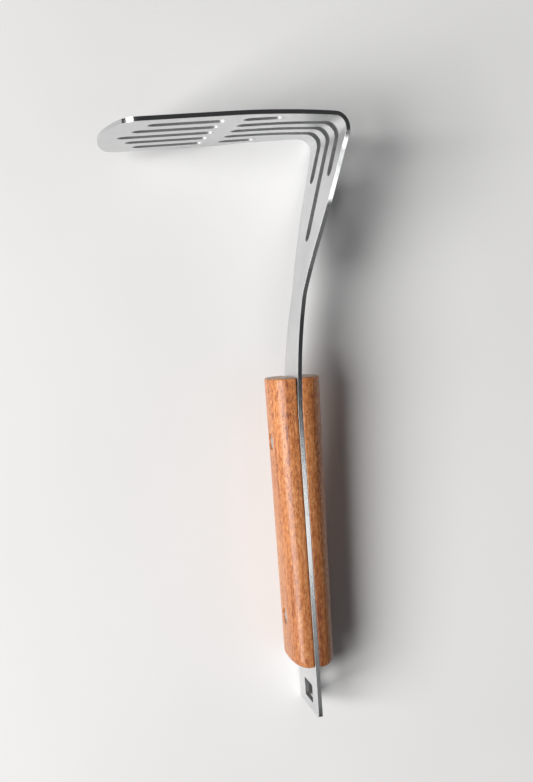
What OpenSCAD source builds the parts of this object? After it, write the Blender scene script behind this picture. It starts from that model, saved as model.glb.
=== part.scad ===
// Pastry blender: a slotted, bent steel blade on a full tang, with two wooden scales held
// by two cutler's rivets. It lies on its side, on the rim of the blade and the end of the tang.
// The tool is drawn with the flat of the tang along Y and its width along Z, then laid down.

/* [Plate] */
// Thickness of the steel sheet
plate_t = 1.7; // [1:0.1:2.5]
// Straight tang, from its free end up to the neck
tang_l = 119.4; // [112:0.1:125]
// Radius of the slow bend at the neck, on the blade's side
neck_r = 261; // [200:1:350]
// Angle of the slow bend at the neck
neck_turn = 15.9; // [8:0.1:22]
// Straight shaft between the neck and the tight bend
shaft_l = 43.6; // [30:0.1:60]
// Inner radius of the tight bend
bend_r = 4.8; // [4:0.1:12]
// Angle that the tight bend turns through
bend_turn = 104.1; // [95:0.1:110]
// Radius of the slight bow behind the bend
bow_r = 361; // [200:1:600]
// Angle of the slight bow behind the bend
bow_turn = 3.8; // [2:0.1:6]
// Flat part of the blade, from the bow to the tip
flat_l = 64.1; // [50:0.1:80]

/* [Outline of the plate] */
// Half width of the blade
blade_hw = 36.7; // [30:0.1:45]
// Half width where the blade runs into the bend
root_hw = 28.6; // [26:0.1:30]
// Half width just under the bend
top_hw = 24.7; // [22:0.1:26]
// Half width at the shoulder of the shaft
shoulder_hw = 20; // [17:0.1:21]
// Half width at the waist of the neck
waist_hw = 8.6; // [7.5:0.1:10]
// Half width of the tang where it goes into the handle
tang_hw = 10.8; // [10:0.1:12]
// Half width of the tang at its free end
tail_hw = 13.9; // [12.5:0.1:15]
// Radius of the blade's curved front edge
tip_r = 100; // [80:1:160]
// Radius of the blade's two front corners
tip_corner_r = 8; // [4:0.5:12]
// Radius of the tang's two corners at its free end
tail_corner_r = 1.5; // [1:0.1:4]
// Distance from the tip at which the blade starts to narrow
taper_start = 53; // [40:1:55]

/* [Slots] */
// Distance between the middles of neighbouring slots
slot_pitch = 12.7; // [10:0.1:14]
// Width of each slot
slot_w = 6; // [4.5:0.1:7]
// Distance from the tip to the middle front slot
front_slot_start = 7.4; // [6:0.1:12]
// How much further back each neighbouring front slot starts
front_slot_step = 4.4; // [2:0.1:6]
// Distance from the tip to the near side of the bridge between the slots
bridge_start = 46.3; // [40:0.1:50]
// Width of the bridge between the front and back slots
bridge_w = 6.3; // [5:0.1:10]
// Distance from the tip to the end of the two outermost back slots
short_slot_end = 68.6; // [60:0.1:75]
// How far the two slots beside the middle run down the shaft
side_slot_down = 15.4; // [8:0.1:25]
// How far the middle slot runs down the shaft
middle_slot_down = 41; // [30:0.1:42]

/* [Handle] */
// Distance from the tang's free end to the handle
tail_l = 21; // [15:0.1:25]
// Length of the wooden scales
scale_l = 118; // [110:0.1:130]
// Thickness of each scale at the neck
scale_t_top = 10; // [8:0.1:12]
// Thickness of each scale at the butt
scale_t_butt = 8; // [7.5:0.1:10]
// Radius of the long rounded edges
edge_r = 5; // [3:0.1:6]
// Radius of the crowned outer face, seen from the end
crown_r = 16; // [15:0.5:30]
// Radius of the outer corner at the butt
butt_r = 3; // [2.5:0.1:6]

/* [Hanging hole] */
// Width of the hole, across the tang
hole_w = 12; // [10:0.1:14]
// Height of the hole, along the tang
hole_h = 7.6; // [6:0.1:9]
// Steel left between the hole and the tang's end
hole_margin = 3.7; // [3:0.1:5]
// Radius of the hole's corners
hole_r = 1.2; // [0.6:0.1:2]

/* [Rivets] */
// Distance from the tang's free end to the lower rivet
lower_rivet_y = 40.2; // [35:0.1:45]
// Distance from the tang's free end to the upper rivet
upper_rivet_y = 113.0; // [105:0.1:118]
// Diameter of the rivet heads
head_d = 6.3; // [5.5:0.1:7]
// Thickness of the rivet heads
head_t = 1.4; // [1:0.1:2]
// How deep the heads sit under the crown of the wood
head_sink = 0.55; // [0.2:0.05:1]
// Outer diameter of the rivet's sleeve
sleeve_d = 4.6; // [4:0.1:5]
// Diameter of the rivet's post
post_d = 3; // [2.5:0.1:3.4]
// Gap left at each end of the sleeve, so that the rivet can close up
post_gap = 0.6; // [0.2:0.1:1]

/* [Rest] */
// Tilt along the handle when the tool lies on a table
rest_tilt = 4.43; // [0:0.01:8]
// Tilt along the blade when the tool lies on a table
rest_roll = 13.01; // [0:0.01:18]
// Shift that puts the middle of the footprint at the origin
rest_shift = [17.159, -120.791, 13.737]; // [-150:0.001:150]

/* [Hidden] */
$fn = 96;

steel = [0.72, 0.73, 0.74];
wood = [0.72, 0.43, 0.25];

// A little extra reach for cutting tools
over = 1;
// Width of the strip that the plate's outline is cut from
strip_w = 2 * blade_hw + 4;
// Largest reach of any cutting tool
far_off = 700;

// The inner face of the plate, followed from the tang's end to the tip of the blade:
// places along it, and the heading at each
tang_end = [0, 0];
neck_start = [0, tang_l];
shaft_a = 90 - neck_turn;
shaft_start = neck_start + neck_r * [1 - cos(neck_turn), sin(neck_turn)];
shaft_end = shaft_start + shaft_l * ahead(shaft_a);
root_a = shaft_a + bend_turn;
root_start = shaft_end + bend_r * (ahead(shaft_a + 90) - ahead(root_a + 90));
flat_a = root_a + bow_turn;
flat_start = root_start + bow_r * (ahead(root_a + 90) - ahead(flat_a + 90));
tip = flat_start + flat_l * ahead(flat_a);

// Length of the blade from its tip to the start of the tight bend
blade_l = flat_l + bow_r * bow_turn * PI / 180;
// How far the tight bend reaches past the blade and above the shaft
bend_reach = bend_r + plate_t;

// Heights of the outline's corners along the tool
waist_y = neck_start[1] + 0.745 * (shaft_start[1] - neck_start[1]);
shoulder_y = shaft_start[1] + 0.38 * shaft_l;
handle_top = tail_l + scale_l;

// Handle: slope of its sides, and of its outer faces
side_slope = atan((tail_hw - tang_hw) / handle_top);
face_slope = atan((scale_t_top - scale_t_butt) / scale_l);

// Direction at an angle from +X
function ahead(a) = [cos(a), sin(a)];

// Half width of the tang and handle at a height
function half_width(y) = tail_hw + (tang_hw - tail_hw) * y / handle_top;

// Thickness of a scale at a height
function scale_t(y) = scale_t_butt + (scale_t_top - scale_t_butt) * (y - tail_l) / scale_l;

// The points of an arc that softens the corner p between the corners a and b
function softened(a, p, b, r, n = 10) =
    let (u = (a - p) / norm(a - p), v = (b - p) / norm(b - p))
    let (half = acos(u * v) / 2, c = p + r / sin(half) * (u + v) / norm(u + v))
    let (t1 = p + r / tan(half) * u, t2 = p + r / tan(half) * v)
    let (a1 = atan2(t1[1] - c[1], t1[0] - c[0]), a2 = atan2(t2[1] - c[1], t2[0] - c[0]))
    let (turn = (a2 - a1 + 540) % 360 - 180)
    [for (i = [0:n]) c + r * ahead(a1 + turn * i / n)];

// One side of an outline, with its mirror image to close it
function two_sided(side) =
    concat(side, [for (i = [len(side) - 1:-1:0]) [side[i][0], -side[i][1]]]);

// The plate seen from the side, laid out piece by piece: each piece starts at the origin and
// heads along +X with its inner face on Y = 0, and what follows it starts from its end
module run(l) {
    translate([0, -plate_t])
        square([l, plate_t]);
    translate([l, 0])
        children();
}

// A bend to the left, on the inner radius r
module left_bend(r, turn) {
    translate([0, r]) {
        difference() {
            rotate(180)
                circle(r = r + plate_t, $fn = 180);
            rotate(180)
                circle(r = r, $fn = 180);
            translate([-far_off, -far_off - r])
                square([far_off, 2 * (far_off + r)]);
            rotate(turn)
                translate([0, -far_off - r])
                    square([far_off + r, 2 * (far_off + r)]);
        }
        rotate(turn)
            translate([0, -r])
                children();
    }
}

// A bend to the right, on the outer radius r
module right_bend(r, turn) {
    translate([0, -r]) {
        difference() {
            circle(r = r, $fn = 360);
            circle(r = r - plate_t, $fn = 360);
            translate([-far_off, -far_off])
                square([far_off, 2 * far_off]);
            rotate(-turn)
                translate([0, -far_off])
                    square([far_off, 2 * far_off]);
        }
        rotate(-turn)
            translate([0, r])
                children();
    }
}

module side_view() {
    rotate(90)
        run(tang_l)
            right_bend(neck_r, neck_turn)
                run(shaft_l)
                    left_bend(bend_r, bend_turn)
                        left_bend(bow_r, bow_turn)
                            run(flat_l);
}

// Frame at the tip of the blade: X runs back towards the bend, Y out of the pressing face
module at_blade() {
    translate(tip)
        rotate(flat_a - 180)
            children();
}

// Frame at the top of the shaft: X runs down towards the handle, Y out of the back
module at_shaft() {
    translate(shaft_end)
        rotate(shaft_a - 180)
            children();
}

// Outline of the blade, seen on its flat face, with the tip at the origin
module blade_outline() {
    corner_z = blade_hw - tip_corner_r;
    corner_x = tip_r - sqrt(pow(tip_r - tip_corner_r, 2) - pow(corner_z, 2));
    corner_a = atan(corner_z / (tip_r - corner_x));
    side = concat(
        [for (i = [1:12]) [tip_r, 0] - tip_r * ahead(-corner_a * i / 12)],
        [for (i = [1:10]) [corner_x, corner_z] - tip_corner_r * ahead(-corner_a - (90 - corner_a) * i / 10)],
        softened([corner_x, blade_hw], [taper_start, blade_hw], [blade_l, root_hw], 60),
        softened([taper_start, blade_hw], [blade_l, root_hw],
                 [blade_l + bend_reach, top_hw], 12, 6),
        [[blade_l + bend_reach, top_hw], [blade_l + bend_reach + 4 * over, top_hw]]);
    polygon(two_sided(side));
}

// Outline of the shaft, neck and tang, seen on the flat of the tang: height first, then width
module shaft_outline() {
    mid_bend = shaft_end[1] + 0.4 * bend_r;
    foot = [0, tail_hw];
    tang_top = [handle_top, tang_hw];
    waist = [waist_y, waist_hw];
    shoulder = [shoulder_y, shoulder_hw];
    top = [shaft_end[1], top_hw + 0.4 * over];
    side = concat(
        softened([0, 0], foot, tang_top, tail_corner_r, 6),
        softened(foot, tang_top, waist, 40, 6),
        softened(tang_top, waist, shoulder, 14, 8),
        softened(waist, shoulder, top, 30, 8),
        [top, [mid_bend, top_hw + 2 * over], [mid_bend, strip_w], [mid_bend + strip_w, strip_w]]);
    polygon(two_sided(side));
}

// A straight slot cut through the flat of the blade between two distances from the tip
module blade_slot(from, to, z) {
    at_blade()
        rotate([90, 0, 0])
            translate([0, z, -2 * plate_t - over])
                linear_extrude(3 * plate_t + 2 * over) {
                    translate([from + slot_w / 2, -slot_w / 2])
                        square([to - from - slot_w, slot_w]);
                    for (x = [from + slot_w / 2, to - slot_w / 2])
                        translate([x, 0])
                            circle(d = slot_w);
                }
}

// All the space past a slot's round end at the origin, towards +X
module past_end() {
    end_r = 0.52 * slot_w;
    translate([end_r, -1.5 * strip_w, -slot_w])
        cube([2 * strip_w, 3 * strip_w, 2 * slot_w]);
    translate([end_r, 1.5 * strip_w, 0])
        rotate([90, 0, 0])
            cylinder(r = end_r, h = 3 * strip_w);
}

// A slot that runs round the bend and down the shaft
module bent_slot(from, down, z) {
    intersection() {
        translate([0, 0, z - slot_w / 2])
            linear_extrude(slot_w) {
                at_blade()
                    translate([from - over, -bend_reach])
                        square([blade_l + bend_reach + 2 * over - from, bend_reach + plate_t + 2 * over]);
                at_shaft()
                    translate([-bend_reach, -bend_reach])
                        square([bend_reach + down + over, bend_reach + plate_t + over]);
            }
        at_blade()
            translate([from, 0, z])
                past_end();
        at_shaft()
            translate([down, 0, z])
                mirror([1, 0, 0])
                    past_end();
    }
}

module slots() {
    back_start = bridge_start + bridge_w;
    for (row = [-2:2]) {
        z = row * slot_pitch;
        blade_slot(front_slot_start + abs(row) * front_slot_step, bridge_start, z);
        if (abs(row) == 2)
            blade_slot(back_start, short_slot_end, z);
        if (abs(row) == 1)
            bent_slot(back_start, side_slot_down, z);
        if (row == 0)
            bent_slot(back_start, middle_slot_down, z);
    }
}

module hanging_hole() {
    translate([-over, hole_margin, 0])
        rotate([90, 0, 90])
            linear_extrude(plate_t + 2 * over) {
                translate([hole_h / 2, 0]) {
                    square([hole_h, hole_w - 2 * hole_r], center = true);
                    square([hole_h - 2 * hole_r, hole_w], center = true);
                }
                for (x = [hole_r, hole_h - hole_r], y = [-1, 1])
                    translate([x, y * (hole_w / 2 - hole_r)])
                        circle(r = hole_r);
            }
}

// A round bore through the handle at height y
module bore(y, d, from, to) {
    translate([from, y, 0])
        rotate([0, 90, 0])
            cylinder(d = d, h = to - from);
}

module plate() {
    color(steel)
        difference() {
            intersection() {
                translate([0, 0, -strip_w / 2])
                    linear_extrude(strip_w)
                        side_view();
                at_blade()
                    rotate([90, 0, 0])
                        translate([0, 0, -strip_w])
                            linear_extrude(far_off)
                                blade_outline();
                rotate([90, 0, 90])
                    translate([0, 0, -2 * strip_w])
                        linear_extrude(4 * strip_w)
                            shaft_outline();
            }
            slots();
            hanging_hole();
            for (y = [lower_rivet_y, upper_rivet_y])
                bore(y, sleeve_d, -over, plate_t + over);
        }
}

// A slab of a scale between its flat and face_in under its outer face, narrower by side_in a side
module scale_slab(face_in, side_in) {
    foot = half_width(tail_l) - side_in;
    top = half_width(handle_top) - side_in;
    translate([face_in - scale_t_butt, 0, 0])
        rotate([90, 0, 90])
            linear_extrude(scale_t_butt - face_in + 2 * over)
                polygon(two_sided([[tail_l - over, foot], [handle_top + over, top]]));
}

// A scale with its outer face parallel to Y, its long edges rounded and its face crowned
module crowned_blank() {
    intersection() {
        union() {
            scale_slab(edge_r, 0);
            scale_slab(0, edge_r);
            for (s = [-1, 1])
                translate([edge_r - scale_t_butt, tail_l, s * (half_width(tail_l) - edge_r)])
                    rotate([-90 - s * side_slope, 0, 0])
                        translate([0, 0, -over])
                            cylinder(r = edge_r, h = scale_l + 2 * over);
        }
        translate([crown_r - scale_t_butt, tail_l - 2 * over, 0])
            rotate([-90, 0, 0])
                cylinder(r = crown_r, h = scale_l + 4 * over, $fn = 180);
    }
}

// Side view of a scale, with the rounded corner at the butt
module scale_profile() {
    corner = [butt_r - scale_t_butt, tail_l + butt_r];
    translate([corner[0], tail_l])
        square([-corner[0], scale_l]);
    translate([-2 * scale_t_top, corner[1]])
        square([2 * scale_t_top, scale_l - butt_r]);
    translate(corner)
        circle(r = butt_r);
}

// A scale with its flat at X = 0 and its crown towards -X
module scale_half() {
    intersection() {
        translate([0, tail_l, 0])
            rotate(face_slope)
                translate([0, -tail_l, 0])
                    crowned_blank();
        translate([0, 0, -strip_w / 2])
            linear_extrude(strip_w)
                scale_profile();
    }
}

// The seats of the rivets in a scale whose crown is towards -X
module rivet_seats() {
    for (y = [lower_rivet_y, upper_rivet_y]) {
        bore(y, sleeve_d, -far_off, over);
        bore(y, head_d, -far_off, head_t + head_sink - scale_t(y));
    }
}

module inner_scale() {
    color(wood)
        difference() {
            scale_half();
            rivet_seats();
        }
}

// The outer scale is fitted to the start of the neck's bend
module outer_scale() {
    color(wood)
        difference() {
            translate([plate_t, 0, 0])
                mirror([1, 0, 0])
                    difference() {
                        scale_half();
                        rivet_seats();
                    }
            translate([0, 0, -strip_w / 2])
                linear_extrude(strip_w)
                    translate(neck_start)
                        rotate(90)
                            right_bend(neck_r, neck_turn);
        }
}

// The solid half of a rivet, with its head in the inner scale
module rivet_post(y) {
    head_out = head_sink - scale_t(y);
    color(steel) {
        bore(y, head_d, head_out, head_out + head_t);
        bore(y, post_d, head_out, plate_t + scale_t(y) - head_sink - head_t - post_gap);
    }
}

// The hollow half of a rivet, with its head in the outer scale
module rivet_sleeve(y) {
    head_out = plate_t + scale_t(y) - head_sink;
    color(steel)
        difference() {
            union() {
                bore(y, head_d, head_out - head_t, head_out);
                bore(y, sleeve_d, head_sink + head_t + post_gap - scale_t(y), head_out);
            }
            bore(y, post_d, -far_off, head_out - head_t);
        }
}

module upper_rivet_post() {
    rivet_post(upper_rivet_y);
}

module upper_rivet_sleeve() {
    rivet_sleeve(upper_rivet_y);
}

module lower_rivet_post() {
    rivet_post(lower_rivet_y);
}

module lower_rivet_sleeve() {
    rivet_sleeve(lower_rivet_y);
}

// The tool as it lies on a table
module laid() {
    translate(rest_shift)
        rotate([rest_tilt, rest_roll, 0])
            children();
}

laid() plate();
laid() inner_scale();
laid() outer_scale();
laid() upper_rivet_post();
laid() upper_rivet_sleeve();
laid() lower_rivet_post();
laid() lower_rivet_sleeve();
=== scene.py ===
import math

import bmesh
import bpy
from mathutils import Matrix, Vector, geometry


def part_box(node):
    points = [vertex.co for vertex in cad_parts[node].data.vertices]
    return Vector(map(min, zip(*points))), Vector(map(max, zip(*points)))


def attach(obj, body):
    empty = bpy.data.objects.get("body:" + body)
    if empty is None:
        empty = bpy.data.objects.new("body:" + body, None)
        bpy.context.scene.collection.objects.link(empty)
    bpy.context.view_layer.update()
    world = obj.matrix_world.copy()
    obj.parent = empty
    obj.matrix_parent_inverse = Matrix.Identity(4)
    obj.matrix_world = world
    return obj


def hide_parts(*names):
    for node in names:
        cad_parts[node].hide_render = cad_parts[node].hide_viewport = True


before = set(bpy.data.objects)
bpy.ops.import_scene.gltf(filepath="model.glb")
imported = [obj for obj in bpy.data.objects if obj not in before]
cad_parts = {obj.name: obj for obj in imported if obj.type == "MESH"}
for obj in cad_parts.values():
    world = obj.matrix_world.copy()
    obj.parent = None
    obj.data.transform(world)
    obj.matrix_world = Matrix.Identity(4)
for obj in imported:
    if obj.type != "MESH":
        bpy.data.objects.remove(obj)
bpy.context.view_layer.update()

# The tool is drawn in millimetres in its own frame, with the tang's inner face on x = 0, its length
# along y and its width along z, and is then laid down as the CAD model lies.
MM = 0.001
PLATE_T = 1.7
TANG_L = 119.4
NECK_R, NECK_TURN = 261.0, 15.9
SHAFT_L = 43.6
BEND_R, BEND_TURN = 4.8, 104.1
BOW_R, BOW_TURN = 361.0, 3.8
FLAT_L = 64.1
BLADE_HW, ROOT_HW, TOP_HW = 36.7, 28.6, 24.7
SHOULDER_HW, WAIST_HW, TANG_HW, TAIL_HW = 20.0, 8.6, 10.8, 13.9
TIP_R, TIP_CORNER_R, TAIL_CORNER_R = 100.0, 8.0, 1.5
TAPER_START = 53.0
SLOT_PITCH, SLOT_W = 12.7, 6.0
FRONT_SLOT_START, FRONT_SLOT_STEP = 7.4, 4.4
BRIDGE_START, BRIDGE_W = 46.3, 6.3
SHORT_SLOT_END, SIDE_SLOT_DOWN, MIDDLE_SLOT_DOWN = 68.6, 15.4, 41.0
TAIL_L, SCALE_L = 21.0, 118.0
SCALE_T_TOP, SCALE_T_BUTT = 10.0, 8.0
BUTT_R = 3.0
HOLE_W, HOLE_H, HOLE_MARGIN, HOLE_R = 12.0, 7.6, 3.7, 1.2
LOWER_RIVET_Y, UPPER_RIVET_Y = 40.2, 113.0
HEAD_D, HEAD_T, HEAD_SINK = 6.3, 1.4, 0.55
SLEEVE_D, POST_D, POST_GAP = 4.6, 3.0, 0.6
REST_TILT, REST_ROLL = 4.43, 13.01

# Radii that soften the corners of the plate's outline, from the tang to the blade
TANG_TOP_R, WAIST_R, SHOULDER_R, TOP_R, ROOT_R, TAPER_R = 40, 14, 60, 50, 12, 60
# Places of the waist up the neck's bend and of the shoulder up the shaft, as shares of their length
WAIST_SHARE, SHOULDER_SHARE = 0.745, 0.38
# Rounding of the sheet's cut edges, of the wood's ends, and of the wood's edges along the tang
EDGE_ROUND = 0.05
WOOD_ROUND = 0.7
SEAM_ROUND = 0.6
# How square the wood's crown is at the butt and at the top: 2 is an ellipse
CROWN_POWER_BUTT, CROWN_POWER_TOP = 3.0, 2.45
# Steps between the wood's sections, in the rounded butt and past it
BUTT_STEP, WOOD_STEP = 0.5, 1.25
# Longest side of the plate's outline
LONGEST_SIDE = 6.0
# A rivet's domed head with its softened rim, the chamfer of its post, and the play round its parts
HEAD_DOME, HEAD_RIM_R, POST_CHAMFER = 0.12, 0.3, 0.3
HEAD_PLAY, SHANK_PLAY, SEAT_PLAY = 0.05, 0.02, 0.12
# The flared mouth of a rivet's seat, and how far the cutter reaches past the wood
MOUTH, MOUTH_DEPTH, MOUTH_FLARE, CUT_PAST = 0.25, 0.15, 0.9, 1.0
# Points that a cut leaves closer together than this become one
WELD_GAP = 0.02

HANDLE_TOP = TAIL_L + SCALE_L


# ------------------------------------------------------------------ the plate's side view
def arc(r, turn):
    return math.radians(turn) * r


# Length along the inner face, and turn to the left, of each stretch from the tang's end to the tip
STRETCHES = [(TANG_L, 0), (arc(NECK_R, NECK_TURN), -NECK_TURN), (SHAFT_L, 0),
             (arc(BEND_R, BEND_TURN), BEND_TURN), (arc(BOW_R, BOW_TURN), BOW_TURN), (FLAT_L, 0)]
STARTS = [sum(length for length, _ in STRETCHES[:i]) for i in range(len(STRETCHES) + 1)]
_, AT_NECK, AT_SHAFT, AT_BEND, AT_ROOT, _, AT_TIP = STARTS
WAIST_AT = AT_NECK + NECK_R * math.asin(WAIST_SHARE * math.sin(math.radians(NECK_TURN)))
SHOULDER_AT = AT_SHAFT + SHOULDER_SHARE * SHAFT_L / math.cos(math.radians(NECK_TURN))


def follow(s):
    """Place and heading on the plate's inner face, s along it from the tang's end."""
    x, y, a = 0.0, 0.0, math.pi / 2
    for i, (length, turn) in enumerate(STRETCHES):
        step = s if i == len(STRETCHES) - 1 else min(s, length)
        turned = math.radians(turn) * step / length
        chord = step * (math.sin(turned / 2) / (turned / 2) if turned else 1.0)
        x += chord * math.cos(a + turned / 2)
        y += chord * math.sin(a + turned / 2)
        a += turned
        s -= step
        if s <= 0:
            break
    return x, y, a


def on_plate(s, n, z):
    """The point n above the inner face."""
    x, y, a = follow(s)
    return Vector((x + n * math.sin(a), y - n * math.cos(a), z)) * MM


def plate_direction(s, ds, dn, dz):
    _, _, a = follow(s)
    return Vector((ds * math.cos(a) + dn * math.sin(a), ds * math.sin(a) - dn * math.cos(a), dz))


# ------------------------------------------------------------------ outlines
def softened(a, p, b, r, n):
    """The points of an arc of radius r that softens the corner p between a and b."""
    a, p, b = Vector(a), Vector(p), Vector(b)
    u, v = (a - p).normalized(), (b - p).normalized()
    half = u.angle(v) / 2
    centre = p + (u + v).normalized() * (r / math.sin(half))
    t1, t2 = p + u * (r / math.tan(half)), p + v * (r / math.tan(half))
    a1 = math.atan2(*(t1 - centre).yx)
    a2 = math.atan2(*(t2 - centre).yx)
    turn = (a2 - a1 + math.pi) % (2 * math.pi) - math.pi
    return [(centre.x + r * math.cos(a1 + turn * i / n), centre.y + r * math.sin(a1 + turn * i / n))
            for i in range(n + 1)]


def plate_outline():
    """The flat outline of the whole plate: (distance from the tang's end, distance from the middle)."""
    foot, tang_top = (0.0, TAIL_HW), (HANDLE_TOP, TANG_HW)
    waist, shoulder = (WAIST_AT, WAIST_HW), (SHOULDER_AT, SHOULDER_HW)
    top, root = (AT_BEND, TOP_HW), (AT_ROOT, ROOT_HW)
    taper = (AT_TIP - TAPER_START, BLADE_HW)
    side = softened((0, 0), foot, tang_top, TAIL_CORNER_R, 8)
    side += softened(foot, tang_top, waist, TANG_TOP_R, 8)
    side += softened(tang_top, waist, shoulder, WAIST_R, 12)
    side += softened(waist, shoulder, top, SHOULDER_R, 16)
    side += softened(shoulder, top, root, TOP_R, 8)
    side += softened(top, root, taper, ROOT_R, 6)
    side += softened(root, taper, (AT_TIP, BLADE_HW), TAPER_R, 12)
    corner_z = BLADE_HW - TIP_CORNER_R
    corner_x = TIP_R - math.sqrt((TIP_R - TIP_CORNER_R) ** 2 - corner_z ** 2)
    corner_a = math.atan(corner_z / (TIP_R - corner_x))
    for i in range(15):
        a = math.pi / 2 - (math.pi / 2 - corner_a) * i / 14
        side.append((AT_TIP - corner_x + TIP_CORNER_R * math.cos(a), corner_z + TIP_CORNER_R * math.sin(a)))
    for i in range(1, 21):
        a = corner_a * (1 - i / 20)
        side.append((AT_TIP - TIP_R + TIP_R * math.cos(a), TIP_R * math.sin(a)))
    return [(0.0, 0.0)] + side + [(s, -z) for s, z in side[-2::-1]]


def arc_points(x, z, r, first, sweep, n):
    """n + 1 points round (x, z), from the angle first through sweep degrees."""
    angles = [math.radians(first + sweep * i / n) for i in range(n + 1)]
    return [(x + r * math.cos(a), z + r * math.sin(a)) for a in angles]


def stadium(start, end, z, width, n=14):
    """A slot with round ends."""
    r = width / 2
    return arc_points(end - r, z, r, -90, 180, n) + arc_points(start + r, z, r, 90, 180, n)


def rounded_box(x0, x1, half, r, n=6):
    """A hole with soft corners, from x0 to x1 and half to each side of the middle."""
    corners = [(x1 - r, half - r, 0), (x0 + r, half - r, 90),
               (x0 + r, r - half, 180), (x1 - r, r - half, 270)]
    return [point for x, z, a in corners for point in arc_points(x, z, r, a, 90, n)]


def plate_holes():
    """The slots, the hanging hole and the rivets' holes, as flat loops."""
    back = BRIDGE_START + BRIDGE_W
    ends = {0: AT_BEND - MIDDLE_SLOT_DOWN, 1: AT_BEND - SIDE_SLOT_DOWN, 2: AT_TIP - SHORT_SLOT_END}
    holes = []
    for row in range(-2, 3):
        z = row * SLOT_PITCH
        front = AT_TIP - FRONT_SLOT_START - abs(row) * FRONT_SLOT_STEP
        holes.append(stadium(AT_TIP - BRIDGE_START, front, z, SLOT_W))
        holes.append(stadium(ends[abs(row)], AT_TIP - back, z, SLOT_W))
    holes.append(rounded_box(HOLE_MARGIN, HOLE_MARGIN + HOLE_H, HOLE_W / 2, HOLE_R))
    for y in (LOWER_RIVET_Y, UPPER_RIVET_Y):
        holes.append([(y + SLEEVE_D / 2 * math.cos(a), SLEEVE_D / 2 * math.sin(a))
                      for a in (math.tau * i / 32 for i in range(32))])
    return holes


def stations():
    """Places along the plate where its bends are cut into short chords."""
    out = []
    for (length, turn), start, pieces in zip(STRETCHES, STARTS, (0, 10, 0, 44, 6, 0)):
        out += [start + length * i / pieces for i in range(pieces + 1)] if pieces else []
    return out


def with_stations(loop, marks):
    """The loop with a corner wherever it crosses a mark, so that the bends' chords run right across."""
    out = []
    for (s0, z0), (s1, z1) in zip(loop, loop[1:] + loop[:1]):
        out.append((s0, z0))
        for m in sorted((m for m in marks if min(s0, s1) + 0.02 < m < max(s0, s1) - 0.02), reverse=s1 < s0):
            out.append((m, z0 + (z1 - z0) * (m - s0) / (s1 - s0)))
    return out


def spread(loop, longest):
    """The loop with its long straight sides cut into steps."""
    out = []
    for (s0, z0), (s1, z1) in zip(loop, loop[1:] + loop[:1]):
        n = max(1, math.ceil(math.dist((s0, z0), (s1, z1)) / longest))
        out += [(s0 + (s1 - s0) * i / n, z0 + (z1 - z0) * i / n) for i in range(n)]
    return out


def tidied(loop):
    """The loop without corners that repeat."""
    out = []
    for p in loop:
        if not out or math.dist(p, out[-1]) > 1e-4:
            out.append(p)
    return out if math.dist(out[0], out[-1]) > 1e-4 else out[:-1]


def outward(loop, sign):
    """The direction out of the metal at each corner of a loop: sign is 1 for the outline, -1 for a hole."""
    n = len(loop)
    area = sum(loop[i - 1][0] * loop[i][1] - loop[i][0] * loop[i - 1][1] for i in range(n))
    turn = sign * math.copysign(1, area)
    out = []
    for i in range(n):
        d = []
        for a, b in ((loop[i - 1], loop[i]), (loop[i], loop[(i + 1) % n])):
            length = math.dist(a, b)
            d.append(((b[1] - a[1]) / length * turn, (a[0] - b[0]) / length * turn))
        m = Vector((d[0][0] + d[1][0], d[0][1] + d[1][1]))
        out.append(m.normalized())
    return out


def inside(p, loop):
    """Whether the point lies within the loop."""
    x, y = p
    hit = False
    for (x0, y0), (x1, y1) in zip(loop, loop[1:] + loop[:1]):
        if (y0 > y) != (y1 > y) and x < x0 + (x1 - x0) * (y - y0) / (y1 - y0):
            hit = not hit
    return hit


# ------------------------------------------------------------------ meshes
def make_object(name, verts, faces, face_slots=None):
    mesh = bpy.data.meshes.new(name)
    mesh.from_pydata([tuple(v) for v in verts], [], faces)
    mesh.validate()
    mesh.polygons.foreach_set("use_smooth", [True] * len(mesh.polygons))
    if face_slots:
        mesh.polygons.foreach_set("material_index", face_slots)
    mesh.update()
    obj = bpy.data.objects.new(name, mesh)
    bpy.context.scene.collection.objects.link(obj)
    return obj


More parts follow.
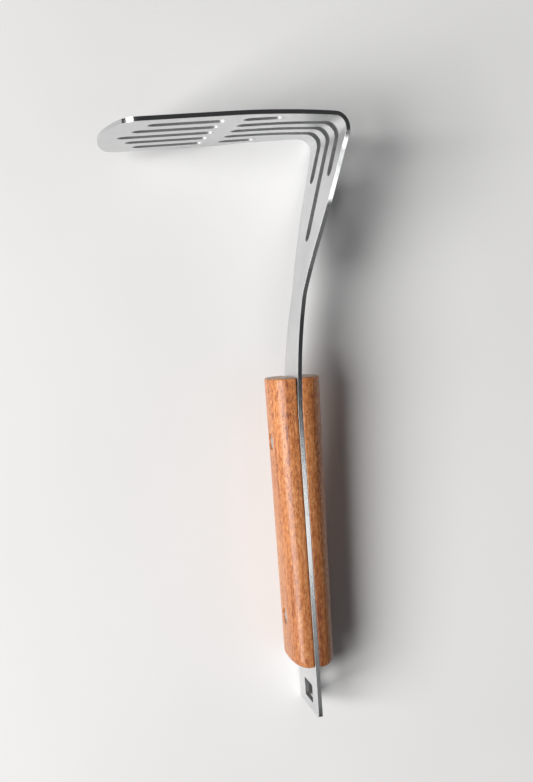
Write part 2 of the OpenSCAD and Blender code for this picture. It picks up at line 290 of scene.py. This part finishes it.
def plate_mesh():
    """The whole plate: rings round every cut edge, joined by two broad faces."""
    marks = stations()
    loops = [(tidied(with_stations(spread(plate_outline(), LONGEST_SIDE), marks)), 1)]
    loops += [(tidied(with_stations(spread(h, LONGEST_SIDE), marks)), -1) for h in plate_holes()]
    # rings round every cut edge, from the inner face over the rounded edge to the outer face
    quarter = [math.pi / 2 * i / 4 for i in range(5)]
    rings = [(EDGE_ROUND * (1 - math.sin(a)), EDGE_ROUND * (1 - math.cos(a)), math.sin(a), -math.cos(a))
             for a in quarter]
    rings += [(inset, PLATE_T - n, m, -up) for inset, n, m, up in reversed(rings)]
    verts, normals, flat, first = [], [], [], []
    for loop, sign in loops:
        first.append(len(verts))
        out = outward(loop, sign)
        for inset, n, m, up in rings:
            for (s, z), d in zip(loop, out):
                s1, z1 = s - inset * d.x, z - inset * d.y
                verts.append(on_plate(s1, n, z1))
                flat.append((s1 * MM, n * MM, z1 * MM))
                normals.append(plate_direction(s, d.x * m, up, d.y * m))
    faces, slots = [], []
    for (loop, sign), start in zip(loops, first):
        n = len(loop)
        for k in range(len(rings) - 1):
            for i in range(n):
                j = (i + 1) % n
                a, b = start + k * n, start + (k + 1) * n
                faces.append((a + i, a + j, b + j, b + i))
                slots.append((1 if sign > 0 else 2) if k == len(quarter) - 1 else 0)
    # the two broad faces
    points, ids, edges = [], [], []
    for (loop, sign), start in zip(loops, first):
        base = len(points)
        n = len(loop)
        for i in range(n):
            points.append(Vector(flat[start + i]).xz / MM)
            ids.append((start + i, start + i + (len(rings) - 1) * n))
        edges += [(base + i, base + (i + 1) % n) for i in range(n)]
    corners = [p for loop, _ in loops for p in loop]
    for m in marks:
        row = sorted((i for i, p in enumerate(corners) if abs(p[0] - m) < 1e-6), key=lambda i: corners[i][1])
        for i, j in zip(row, row[1:]):
            middle = (m, (corners[i][1] + corners[j][1]) / 2)
            if inside(middle, loops[0][0]) and not any(inside(middle, h) for h, _ in loops[1:]):
                edges.append((i, j))
    made = geometry.delaunay_2d_cdt(points, edges, [], 1, 1e-7, True)
    new_points, _, triangles, origin = made[0], made[1], made[2], made[3]
    if len(new_points) != len(points):
        raise RuntimeError("the plate's outline crosses itself")
    insets = [[tuple(Vector(flat[start + i]).xz / MM) for i in range(len(loop))]
              for (loop, _), start in zip(loops, first)]
    for tri in triangles:
        centre = sum((new_points[i] for i in tri), Vector((0, 0))) / 3
        if not inside(centre, insets[0]) or any(inside(centre, h) for h in insets[1:]):
            continue
        low = [ids[origin[i][0]][0] for i in tri]
        high = [ids[origin[i][0]][1] for i in tri]
        faces += [tuple(low), tuple(reversed(high))]
        slots += [0, 0]
    return verts, faces, slots, normals, flat


def turn_faces_out(mesh):
    bm = bmesh.new()
    bm.from_mesh(mesh)
    bmesh.ops.recalc_face_normals(bm, faces=bm.faces)
    bm.to_mesh(mesh)
    bm.free()


def laid_matrix(verts):
    """The frame that lays the tool down as the CAD model lies, from the plate's corners."""
    tilt = Matrix.Rotation(math.radians(REST_TILT), 4, "X")
    turned = Matrix.Rotation(math.radians(REST_ROLL), 4, "Y") @ tilt
    corners = [turned @ v for v in verts]
    low = Vector([min(c[i] for c in corners) for i in range(3)])
    high = Vector([max(c[i] for c in corners) for i in range(3)])
    box_low, box_high = (Vector(c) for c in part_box("plate"))
    shift = (box_low + box_high) / 2 - (low + high) / 2
    shift.z = box_low.z - low.z
    return Matrix.Translation(shift) @ turned


def lay_down(obj, normals=None, flat=None):
    """Moves the mesh into the row frame, and keeps its places on the tool for its material."""
    mesh = obj.data
    own = flat or [tuple(v.co) for v in mesh.vertices]
    mesh.transform(LAID)
    layer = mesh.attributes.new("own", "FLOAT_VECTOR", "POINT")
    layer.data.foreach_set("vector", [c for p in own for c in p])
    if normals:
        turn = LAID.to_3x3()
        mesh.normals_split_custom_set_from_vertices([tuple(turn @ n) for n in normals])
    mesh.update()


plate_verts, plate_faces, plate_slots, plate_normals, plate_flat = plate_mesh()
LAID = laid_matrix(plate_verts)
plate = make_object("steel_plate", plate_verts, plate_faces, plate_slots)
turn_faces_out(plate.data)
lay_down(plate, plate_normals, plate_flat)


def half_width(y):
    return TAIL_HW + (TANG_HW - TAIL_HW) * y / HANDLE_TOP


def scale_t(y):
    return SCALE_T_BUTT + (SCALE_T_TOP - SCALE_T_BUTT) * (y - TAIL_L) / SCALE_L


def resampled(line, n):
    """n + 1 evenly spaced points along an open line."""
    lengths = [0.0]
    for a, b in zip(line, line[1:]):
        lengths.append(lengths[-1] + math.dist(a, b))
    out, k = [], 0
    for i in range(n + 1):
        want = lengths[-1] * i / n
        while k < len(line) - 2 and lengths[k + 1] < want:
            k += 1
        f = (want - lengths[k]) / (lengths[k + 1] - lengths[k])
        out.append(tuple(p + (q - p) * f for p, q in zip(line[k], line[k + 1])))
    return out


def scale_section(y):
    """The section of a scale: (across, out from the plate), a flat side with soft corners and a crown."""
    w, t = half_width(y), scale_t(y)
    drop = max(0.0, BUTT_R - (y - TAIL_L))
    t -= BUTT_R - math.sqrt(BUTT_R ** 2 - drop ** 2)
    up = (y - TAIL_L) / SCALE_L
    power = CROWN_POWER_BUTT + (CROWN_POWER_TOP - CROWN_POWER_BUTT) * up
    crown = []
    for i in range(181):
        a = math.pi * i / 180
        c, s = math.cos(a), math.sin(a)
        crown.append((w * math.copysign(abs(c) ** (2 / power), c),
                      SEAM_ROUND + (t - SEAM_ROUND) * abs(s) ** (2 / power)))
    crown = resampled(crown, 56)
    right = [(w - SEAM_ROUND + SEAM_ROUND * math.sin(a), SEAM_ROUND - SEAM_ROUND * math.cos(a))
             for a in (math.pi / 2 * i / 4 for i in range(4))]
    left = [(-z, d) for z, d in reversed(right)]
    flat = [(x, 0.0) for x in (-0.75 * w, -0.5 * w, -0.25 * w, 0.0, 0.25 * w, 0.5 * w, 0.75 * w)]
    return right + crown + left + flat, t


def scale_mesh(name, side):
    """A wooden scale on the inner (-1) or outer (1) side of the tang."""
    levels = []
    for i in range(6):
        a = math.pi / 2 * i / 5
        levels.append((TAIL_L + WOOD_ROUND * (1 - math.cos(a)), WOOD_ROUND * (1 - math.sin(a))))
    y = TAIL_L + WOOD_ROUND
    while y < HANDLE_TOP - WOOD_ROUND - 1.5:
        y += BUTT_STEP if y < TAIL_L + BUTT_R + 1 else WOOD_STEP
        levels.append((y, 0.0))
    for i in range(6):
        a = math.pi / 2 * i / 5
        levels.append((HANDLE_TOP - WOOD_ROUND * (1 - math.sin(a)), WOOD_ROUND * (1 - math.cos(a))))
    rings = []
    for y, inset in levels:
        section, t = scale_section(y)
        w = half_width(y)
        fz, fd = (w - inset) / w, (t / 2 - inset) / (t / 2)
        rings.append((y, [(z * fz, t / 2 + (d - t / 2) * fd) for z, d in section], t))
    for end, at in ((0, 0), (-1, len(rings))):
        y, ring, t = rings[end]
        cap = [(y, [(z * f, t / 2 + (d - t / 2) * f) for z, d in ring], t) for f in (0.8, 0.6, 0.4, 0.2)]
        rings = (cap[::-1] + rings) if end == 0 else (rings + cap)
    verts = []
    neck_face_r = NECK_R - PLATE_T

    def place(y, z, d, t):
        if side < 0:
            return Vector((-d, y, z)) * MM
        past = max(0.0, y - AT_NECK)
        curve = neck_face_r - math.sqrt(neck_face_r ** 2 - past ** 2)
        return Vector((PLATE_T + curve + d * (t - curve) / t, y, z)) * MM

    for y, ring, t in rings:
        verts += [place(y, z, d, t) for z, d in ring]
    n = len(rings[0][1])
    faces = [(k * n + i, k * n + (i + 1) % n, (k + 1) * n + (i + 1) % n, (k + 1) * n + i)
             for k in range(len(rings) - 1) for i in range(n)]
    for k in (0, len(rings) - 1):
        y, ring, t = rings[k]
        verts.append(place(y, 0.0, t / 2, t))
        faces += [(k * n + i, k * n + (i + 1) % n, len(verts) - 1) for i in range(n)]
    obj = make_object(name, verts, faces)
    turn_faces_out(obj.data)
    return obj


def lathe(name, y, profile, steps=48):
    """A closed solid turned about the x axis at height y, from a closed loop of (x, radius)."""
    verts, faces = [], []
    rows = []
    for x, r in profile:
        if r < 1e-6:
            rows.append([len(verts)])
            verts.append(Vector((x, y, 0)) * MM)
        else:
            rows.append(list(range(len(verts), len(verts) + steps)))
            angles = [math.tau * i / steps for i in range(steps)]
            verts += [Vector((x, y + r * math.cos(a), r * math.sin(a))) * MM for a in angles]
    pairs = list(zip(rows, rows[1:]))
    if len(rows[0]) > 1:
        pairs.append((rows[-1], rows[0]))
    for a, b in pairs:
        for i in range(steps):
            j = (i + 1) % steps
            quad = [a[i % len(a)], a[j % len(a)], b[j % len(b)], b[i % len(b)]]
            quad = list(dict.fromkeys(quad))
            if len(quad) > 2:
                faces.append(tuple(quad))
    obj = make_object(name, verts, faces)
    turn_faces_out(obj.data)
    obj.data.set_sharp_from_angle(angle=math.radians(50))
    return obj


def head_profile(face, inward):
    """The outer end of a rivet from its centre to its edge: slightly domed, with a softened rim."""
    r, rim = HEAD_D / 2, HEAD_RIM_R
    dome = [(face + inward * HEAD_DOME * (f ** 2), f * (r - rim)) for f in (0.0, 0.25, 0.5, 0.75, 1.0)]
    edge = [(face + inward * (HEAD_DOME + rim * (1 - math.cos(a))), r - rim + rim * math.sin(a))
            for a in (math.pi / 2 * i / 4 for i in range(1, 5))]
    return dome + edge


def rivet_post(name, y):
    """The solid half of a rivet, with its head in the inner scale."""
    face = HEAD_SINK - scale_t(y)
    end = PLATE_T + scale_t(y) - HEAD_SINK - HEAD_T - POST_GAP
    under, shank_r = face + HEAD_T, POST_D / 2 - SHANK_PLAY
    profile = head_profile(face, 1)
    profile += [(under, HEAD_D / 2 - HEAD_PLAY), (under, shank_r), (end - POST_CHAMFER, shank_r),
                (end, POST_D / 2 - POST_CHAMFER), (end, 0.0)]
    return lathe(name, y, profile)


def rivet_sleeve(name, y):
    """The hollow half of a rivet, with its head in the outer scale."""
    face = PLATE_T + scale_t(y) - HEAD_SINK
    end = HEAD_SINK + HEAD_T + POST_GAP - scale_t(y)
    under, sleeve_r, bore_r = face - HEAD_T, SLEEVE_D / 2 - SHANK_PLAY, POST_D / 2 + SHANK_PLAY
    profile = head_profile(face, -1)
    profile += [(under, HEAD_D / 2 - HEAD_PLAY), (under, sleeve_r), (end, sleeve_r), (end, bore_r),
                (under, bore_r), (under, 0.0)]
    return lathe(name, y, profile)


def weld_close_points(mesh):
    """Leaves a cut mesh with no slivers, and with no face of many sides for an export to split."""
    bm = bmesh.new()
    bm.from_mesh(mesh)
    bmesh.ops.triangulate(bm, faces=[face for face in bm.faces if len(face.verts) > 4])
    bmesh.ops.remove_doubles(bm, verts=bm.verts, dist=WELD_GAP * MM)
    bmesh.ops.dissolve_degenerate(bm, edges=bm.edges, dist=WELD_GAP * MM / 2)
    bm.to_mesh(mesh)
    bm.free()


def drilled(obj, side):
    """Cuts the rivets' stepped seats into a scale."""
    for y in (LOWER_RIVET_Y, UPPER_RIVET_Y):
        bottom, top = scale_t(y) - HEAD_SINK - HEAD_T, scale_t(y) + CUT_PAST
        r = HEAD_D / 2 + SEAT_PLAY
        shape = [(-CUT_PAST, 0.0), (-CUT_PAST, SLEEVE_D / 2), (bottom, SLEEVE_D / 2), (bottom, r),
                 (scale_t(y) - MOUTH - MOUTH_DEPTH, r), (top, r + MOUTH + MOUTH_FLARE), (top, 0.0)]
        shape = [(-d if side < 0 else PLATE_T + d, rad) for d, rad in shape]
        cutter = lathe("cutter", y, shape, 64)
        cut = obj.modifiers.new("seat", "BOOLEAN")
        cut.operation, cut.solver, cut.object = "DIFFERENCE", "EXACT", cutter
        done = bpy.data.meshes.new_from_object(obj.evaluated_get(bpy.context.evaluated_depsgraph_get()))
        obj.modifiers.clear()
        obj.data = done
        bpy.data.objects.remove(cutter)
    weld_close_points(obj.data)
    obj.data.set_sharp_from_angle(angle=math.radians(40))
    return obj


pieces = {
    "plate": plate,
    "inner_scale": drilled(scale_mesh("wood_inner_scale", -1), -1),
    "outer_scale": drilled(scale_mesh("wood_outer_scale", 1), 1),
    "upper_rivet_post": rivet_post("rivet_upper_post", UPPER_RIVET_Y),
    "upper_rivet_sleeve": rivet_sleeve("rivet_upper_sleeve", UPPER_RIVET_Y),
    "lower_rivet_post": rivet_post("rivet_lower_post", LOWER_RIVET_Y),
    "lower_rivet_sleeve": rivet_sleeve("rivet_lower_sleeve", LOWER_RIVET_Y),
}


# ------------------------------------------------------------------ materials
class Nodes:
    """A small helper that builds a node material."""

    def __init__(self, name):
        self.material = bpy.data.materials.new(name)
        self.material.use_nodes = True
        self.tree = self.material.node_tree
        self.tree.nodes.clear()
        self.out = self.add("ShaderNodeOutputMaterial")

    def add(self, kind, inputs=None, **values):
        node = self.tree.nodes.new(kind)
        for key, value in values.items():
            setattr(node, key, value)
        for key, value in (inputs or {}).items():
            self.set(node.inputs[key], value)
        return node

    def set(self, socket, value):
        if isinstance(value, bpy.types.NodeSocket):
            self.tree.links.new(value, socket)
        else:
            socket.default_value = value

    def own_place(self):
        """The place on the tool, in metres, before it was laid down."""
        return self.add("ShaderNodeAttribute", attribute_name="own").outputs["Vector"]

    def stretched(self, vector, scale, turn=(0, 0, 0)):
        return self.add("ShaderNodeMapping", {"Vector": vector, "Scale": scale, "Rotation": turn}).outputs[0]

    def noise(self, vector, scale, detail=3.0, roughness=0.5):
        return self.add("ShaderNodeTexNoise", {"Vector": vector, "Scale": scale, "Detail": detail,
                                               "Roughness": roughness}).outputs["Fac"]

    def remap(self, value, a, b, c, d, smooth=False):
        node = self.add("ShaderNodeMapRange", {"Value": value, "From Min": a, "From Max": b, "To Min": c,
                                               "To Max": d})
        node.interpolation_type = "SMOOTHSTEP" if smooth else "LINEAR"
        return node.outputs["Result"]

    def math(self, operation, a, b=0.0):
        node = self.add("ShaderNodeMath", operation=operation)
        self.set(node.inputs[0], a)
        self.set(node.inputs[1], b)
        return node.outputs[0]

    def mix(self, fac, a, b, blend="MIX"):
        node = self.add("ShaderNodeMix", data_type="RGBA", blend_type=blend)
        self.set(node.inputs[0], fac)
        self.set(node.inputs[6], a)
        self.set(node.inputs[7], b)
        return node.outputs[2]

    def ramp(self, fac, stops):
        node = self.add("ShaderNodeValToRGB", {"Fac": fac})
        ramp = node.color_ramp
        while len(ramp.elements) < len(stops):
            ramp.elements.new(0.5)
        for element, (at, colour) in zip(ramp.elements, stops):
            element.position, element.color = at, colour
        return node.outputs["Color"]

    def bump(self, height, strength, distance):
        return self.add("ShaderNodeBump", {"Height": height, "Strength": strength,
                                           "Distance": distance}).outputs[0]

    def finish(self, **inputs):
        shader = self.add("ShaderNodeBsdfPrincipled", {k.replace("_", " "): v for k, v in inputs.items()})
        self.tree.links.new(shader.outputs[0], self.out.inputs[0])
        return self.material


# Distances from the waist, in metres, over which the edge's painted shade and dullness fade out
WAIST_SHADE_AND_DULL_FADE = (0.004, 0.012)
# Colours of the wood from its darkest to its lightest fibres, and what is mixed into them: pores, a painted
# shade towards the butt, and end grain
WOOD_TONES = [(0.39, (0.26, 0.068, 0.020, 1)), (0.46, (0.52, 0.172, 0.050, 1)),
              (0.53, (0.69, 0.265, 0.088, 1)), (0.61, (0.84, 0.430, 0.180, 1))]
PORE_COLOUR, BUTT_SHADE_COLOUR = (0.17, 0.045, 0.018, 1), (0.12, 0.035, 0.015, 1)
END_GRAIN_COLOUR = (0.30, 0.24, 0.17, 1)


def grey(v, tint=0.0):
    return (v - tint, v, v + tint, 1.0)


def steel_face():
    """The satin broad faces of the sheet."""
    m = Nodes("satin steel")
    at = m.own_place()
    grain = m.noise(at, 2600, 5, 0.65)
    rolled = m.noise(m.stretched(at, (60, 1, 2200)), 1.0, 4, 0.6)
    cloud = m.noise(at, 55, 3, 0.5)
    # two families of faint scratches that cross each other
    lengthwise = m.noise(m.stretched(at, (50, 1, 2600), (0, 0.5, 0)), 1.0, 2, 0.5)
    crosswise = m.noise(m.stretched(at, (2600, 1, 45), (0, 0.35, 0)), 1.0, 2, 0.5)
    scratch = m.math("MAXIMUM", m.remap(lengthwise, 0.70, 0.78, 0, 1),
                     m.remap(crosswise, 0.72, 0.80, 0, 1))
    tone = m.math("ADD", m.math("MULTIPLY", rolled, 0.5), m.math("MULTIPLY", cloud, 0.5))
    colour = m.ramp(tone, [(0.35, grey(0.62, 0.006)), (0.65, grey(0.74, 0.004))])
    colour = m.mix(m.math("MULTIPLY", scratch, 0.35), colour, grey(0.78))
    rough = m.math("ADD", m.remap(cloud, 0.3, 0.7, 0.27, 0.34), m.math("MULTIPLY", grain, 0.12))
    height = m.math("ADD", m.math("MULTIPLY", grain, 0.6), m.math("MULTIPLY", rolled, 0.4))
    normal = m.bump(m.math("SUBTRACT", height, m.math("MULTIPLY", scratch, 0.4)), 0.3, 0.00002)
    return m.finish(Base_Color=colour, Metallic=1.0, Roughness=rough, Normal=normal)


def steel_cut(name, dull):
    """The sheared edges of the sheet."""
    m = Nodes(name)
    at = m.own_place()
    shear = m.noise(m.stretched(at, (3500, 500, 3500)), 1.0, 3, 0.6)
    cloud = m.noise(at, 160, 3, 0.5)
    colour = m.ramp(m.math("ADD", m.math("MULTIPLY", shear, 0.6), m.math("MULTIPLY", cloud, 0.4)),
                    [(0.35, grey(0.52, 0.006)), (0.65, grey(0.64, 0.003))])
    # round the neck's waist the edge is rougher and painted darker: painted shade that keeps a lamp from
    # glinting there
    along = m.add("ShaderNodeSeparateXYZ", {0: at}).outputs["X"]
    from_waist = m.math("ABSOLUTE", m.math("SUBTRACT", along, WAIST_AT * MM))
    waist_shade_and_dull = m.remap(from_waist, *WAIST_SHADE_AND_DULL_FADE, 1.0, 0.0, True)
    colour = m.mix(m.math("MULTIPLY", waist_shade_and_dull, 0.8), colour, grey(0.20))
    rough = m.math("ADD", m.remap(shear, 0.3, 0.7, dull, dull * 1.4), m.math("MULTIPLY", waist_shade_and_dull, 0.35))
    return m.finish(Base_Color=colour, Metallic=1.0, Roughness=rough, Normal=m.bump(shear, 0.25, 0.00001))


def steel_rivet():
    """The plain, lightly worn steel of the rivets."""
    m = Nodes("rivet steel")
    at = m.own_place()
    grain = m.noise(at, 2600, 4, 0.6)
    worn = m.noise(at, 600, 3, 0.6)
    colour = m.ramp(worn, [(0.35, grey(0.50, 0.002)), (0.65, grey(0.64))])
    rough = m.remap(grain, 0.3, 0.7, 0.28, 0.44)
    return m.finish(Base_Color=colour, Metallic=1.0, Roughness=rough, Normal=m.bump(grain, 0.4, 0.00003))


def oiled_wood(name, offset, butt_shade):
    """Reddish wood with open pores. offset picks its grain; the last argument is how much painted shade
    darkens its butt.
    """
    m = Nodes(name)
    own = m.own_place()
    at = m.add("ShaderNodeVectorMath", operation="ADD")
    m.set(at.inputs[0], own)
    at.inputs[1].default_value = offset
    at = at.outputs[0]
    along = m.add("ShaderNodeVectorMath", operation="DOT_PRODUCT")
    m.set(along.inputs[0], m.add("ShaderNodeTexCoord").outputs["Normal"])
    along.inputs[1].default_value = LAID.to_3x3() @ Vector((0, 1, 0))
    end_grain = m.remap(m.math("ABSOLUTE", along.outputs["Value"]), 0.6, 0.95, 0, 1)
    # growth bands that wander along the handle
    wander = m.noise(m.stretched(at, (60, 9, 60)), 1.0, 2, 0.5)
    bent = m.add("ShaderNodeVectorMath", operation="ADD")
    m.set(bent.inputs[0], m.stretched(at, (300, 9, 300)))
    m.set(bent.inputs[1], m.math("MULTIPLY", wander, 2.2))
    bands = m.noise(bent.outputs[0], 1.0, 5, 0.62)
    fibre = m.noise(m.stretched(at, (2200, 120, 2200)), 1.0, 4, 0.7)
    mottle = m.noise(m.stretched(at, (1100, 420, 1100)), 1.0, 3, 0.6)
    # open pores: short dark dashes along the grain, thicker in some bands than in others
    cells = m.add("ShaderNodeTexVoronoi", {"Vector": m.stretched(at, (1900, 620, 1900)), "Scale": 1.0,
                                           "Randomness": 1.0}).outputs["Distance"]
    crowd = m.remap(m.noise(m.stretched(at, (150, 30, 150)), 1.0, 3, 0.6), 0.35, 0.65, 0.14, 0.42)
    pores = m.remap(m.math("SUBTRACT", crowd, cells), 0.0, 0.08, 0, 1, True)
    tone = m.math("ADD", m.math("MULTIPLY", bands, 0.32),
                  m.math("ADD", m.math("MULTIPLY", fibre, 0.28), m.math("MULTIPLY", mottle, 0.40)))
    colour = m.mix(m.math("MULTIPLY", pores, 0.6), m.ramp(tone, WOOD_TONES), PORE_COLOUR)
    height_on = m.add("ShaderNodeSeparateXYZ", {0: own}).outputs["Y"]
    # painted shade: the colour is darkened towards the butt, by more on the outer scale, which faces away
    # from the window
    butt_painted_shade = m.remap(height_on, TAIL_L * MM, HANDLE_TOP * MM, butt_shade, 0.0)
    colour = m.mix(butt_painted_shade, colour, BUTT_SHADE_COLOUR)
    colour = m.mix(m.math("MULTIPLY", end_grain, 0.5), colour, END_GRAIN_COLOUR)
    rough = m.math("ADD", m.remap(mottle, 0.3, 0.7, 0.34, 0.44), m.math("MULTIPLY", pores, 0.25))
    height = m.math("SUBTRACT", m.math("MULTIPLY", fibre, 0.5), m.math("MULTIPLY", pores, 0.8))
    normal = m.bump(height, 0.6, 0.00008)
    return m.finish(Base_Color=colour, Roughness=rough, Normal=normal, Specular_IOR_Level=0.38,
                    Coat_Weight=0.28, Coat_Roughness=0.33)


def floor_material():
    m = Nodes("pale floor")
    at = m.add("ShaderNodeTexCoord").outputs["Object"]
    cloud = m.noise(at, 6, 3, 0.5)
    colour = m.ramp(cloud, [(0.3, (0.78, 0.78, 0.78, 1)), (0.7, (0.82, 0.82, 0.82, 1))])
    return m.finish(Base_Color=colour, Roughness=m.remap(cloud, 0.3, 0.7, 0.42, 0.5), Specular_IOR_Level=0.3)


face_steel, rivet_steel = steel_face(), steel_rivet()
rim_steel, slot_steel = steel_cut("cut steel rim", 0.13), steel_cut("pressed steel slots", 0.36)
# The wood's last number is how much painted shade darkens its butt
finishes = {"plate": ("steel", [face_steel, rim_steel, slot_steel]),
            "inner_scale": ("wood", [oiled_wood("oiled wood inner", (0.13, 0.02, 0.31), 0.22)]),
            "outer_scale": ("wood", [oiled_wood("oiled wood outer", (0.47, 0.11, 0.05), 0.55)])}
for node, piece in pieces.items():
    slot, materials = finishes.get(node, ("rivet", [rivet_steel]))
    for material in materials:
        piece.data.materials.append(material)
    if node != "plate":
        lay_down(piece)
    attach(piece, "root")
    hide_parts(node)

# ------------------------------------------------------------------ floor, light and camera
FLOOR_HALF = 3.0
floor_corners = [Vector((x * FLOOR_HALF, y * FLOOR_HALF, 0)) for x, y in ((-1, -1), (1, -1), (1, 1), (-1, 1))]
floor = make_object("floor", floor_corners, [(0, 1, 2, 3)])
floor.data.materials.append(floor_material())

world = bpy.data.worlds.new("soft room")
bpy.context.scene.world = world
world.use_nodes = True
world.node_tree.nodes["Background"].inputs[0].default_value = (0.95, 0.97, 1.0, 1)
world.node_tree.nodes["Background"].inputs[1].default_value = 0.06


# Height of the cards over the floor
CARD_HEIGHT = 1.0


def area_light(name, place, aim, size, power, colour=(1, 1, 1)):
    data = bpy.data.lights.new(name, "AREA")
    data.shape, data.size, data.size_y = "RECTANGLE", size[0], size[1]
    data.energy, data.color = power, colour
    lamp = bpy.data.objects.new(name, data)
    lamp.location = place
    lamp.rotation_euler = (Vector(aim) - Vector(place)).to_track_quat("-Z", "Y").to_euler()
    bpy.context.scene.collection.objects.link(lamp)


def card(name, x, y, size, power):
    """A weak lamp that faces straight down, for the steel's edges to reflect."""
    area_light(name, (x, y, CARD_HEIGHT), (x, y, 0.0), size, power)


area_light("window", (-1.623, -0.322, 1.738), (0, 0, 0.02), (1.4, 1.9), 82.0, (1.0, 0.99, 0.98))
card("small card", 0.480, -0.285, (0.07, 0.19), 0.19)
card("dim card", 0.42, -0.68, (0.28, 0.40), 0.06)
card("long card", 0.552, -0.475, (0.05, 0.34), 0.047)

camera_data = bpy.data.cameras.new("camera")
camera_data.sensor_width, camera_data.lens = 36.0, 50.0
camera_data.clip_start, camera_data.clip_end = 0.01, 20.0
camera = bpy.data.objects.new("camera", camera_data)
camera.location = (0.00998, 0.01378, 0.46873)
camera.rotation_euler = [math.radians(a) for a in (-0.138, 0.024, -4.657)]
bpy.context.scene.collection.objects.link(camera)
bpy.context.scene.camera = camera
bpy.context.scene.view_settings.view_transform = "Standard"

bpy.context.view_layer.update()
